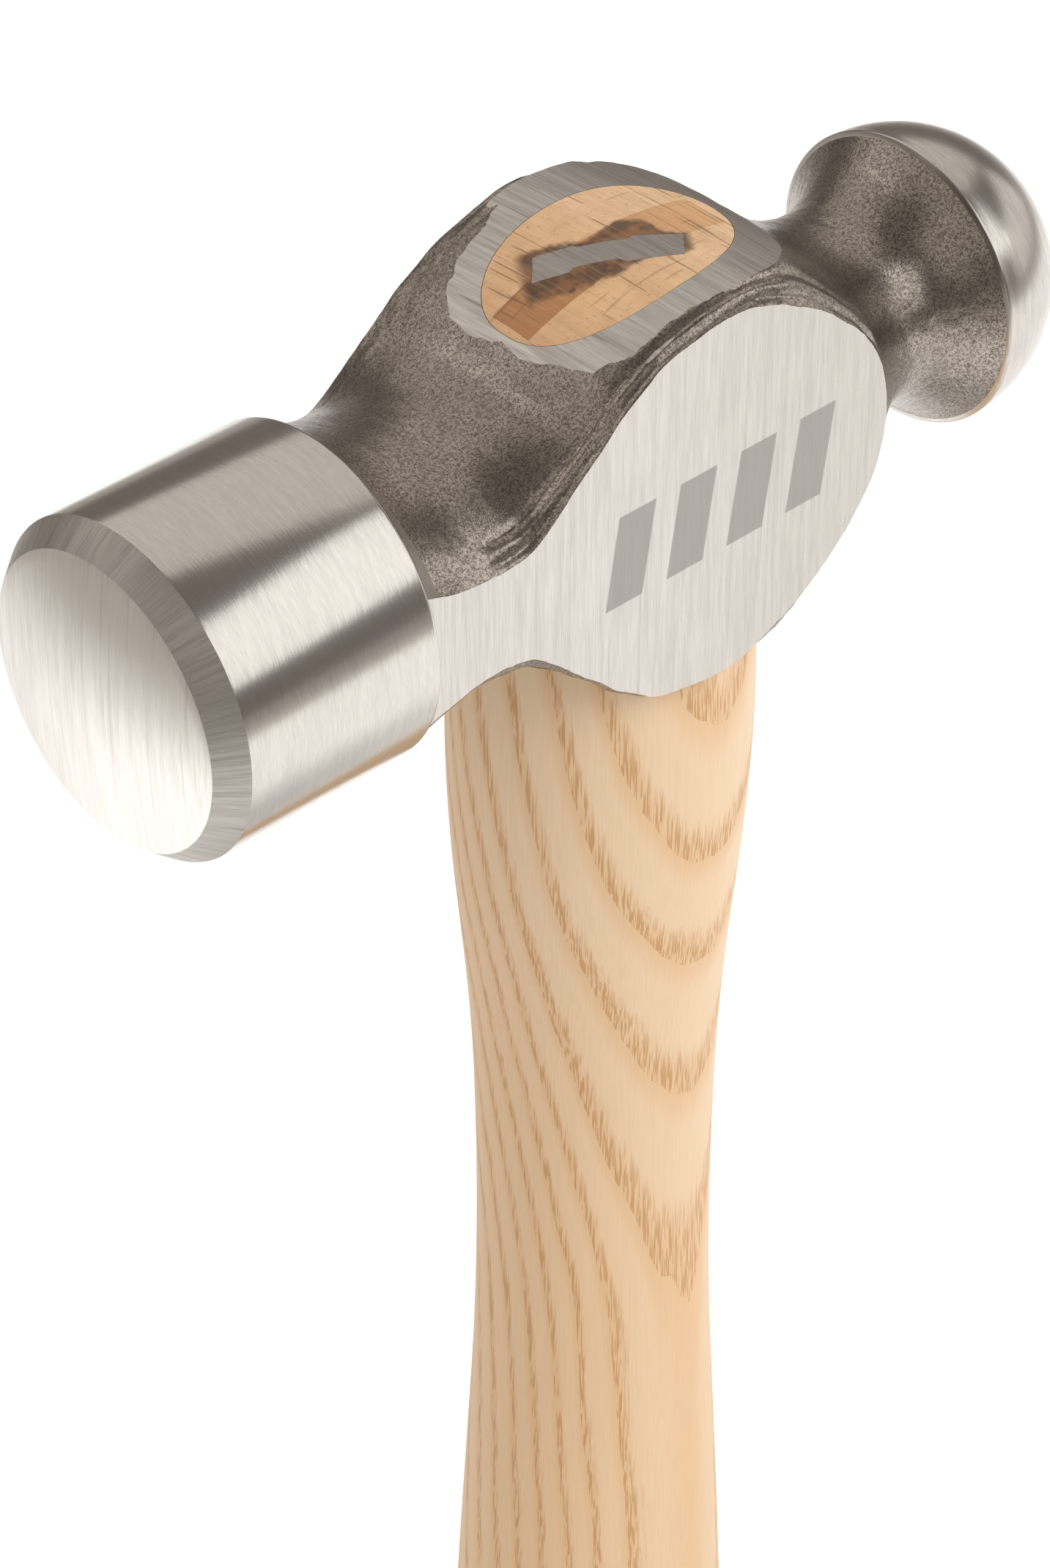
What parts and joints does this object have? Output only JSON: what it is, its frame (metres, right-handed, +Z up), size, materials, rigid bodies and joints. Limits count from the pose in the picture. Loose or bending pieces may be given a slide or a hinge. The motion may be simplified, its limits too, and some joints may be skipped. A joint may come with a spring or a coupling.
{
  "type": "ball peen hammer",
  "caption": "Ball peen hammer: forged steel head with a round crowned face and a polished ball peen, wedged on an oval ash handle.",
  "frame": {"origin": "centre of the flat end of the handle's butt", "axes": "+Z up along the handle to the head, -X along the head to the striking face, +X to the ball peen, Y across the cheeks"},
  "size_m": [0.1045, 0.0302, 0.34],
  "materials": {
    "forged_steel": "ground face, cheeks, top and dome; dark forged scale on the necks",
    "ash": "sanded pale ash, lightly oiled",
    "wedge_wood": "end grain of a darker hardwood, ground flush",
    "wedge_steel": "soft steel, ground flush"
  },
  "bodies": {
    "root": {"head": "forged_steel", "handle": "ash", "wood_wedge": "wedge_wood", "steel_wedge": "wedge_steel"}
  },
  "joints": []
}
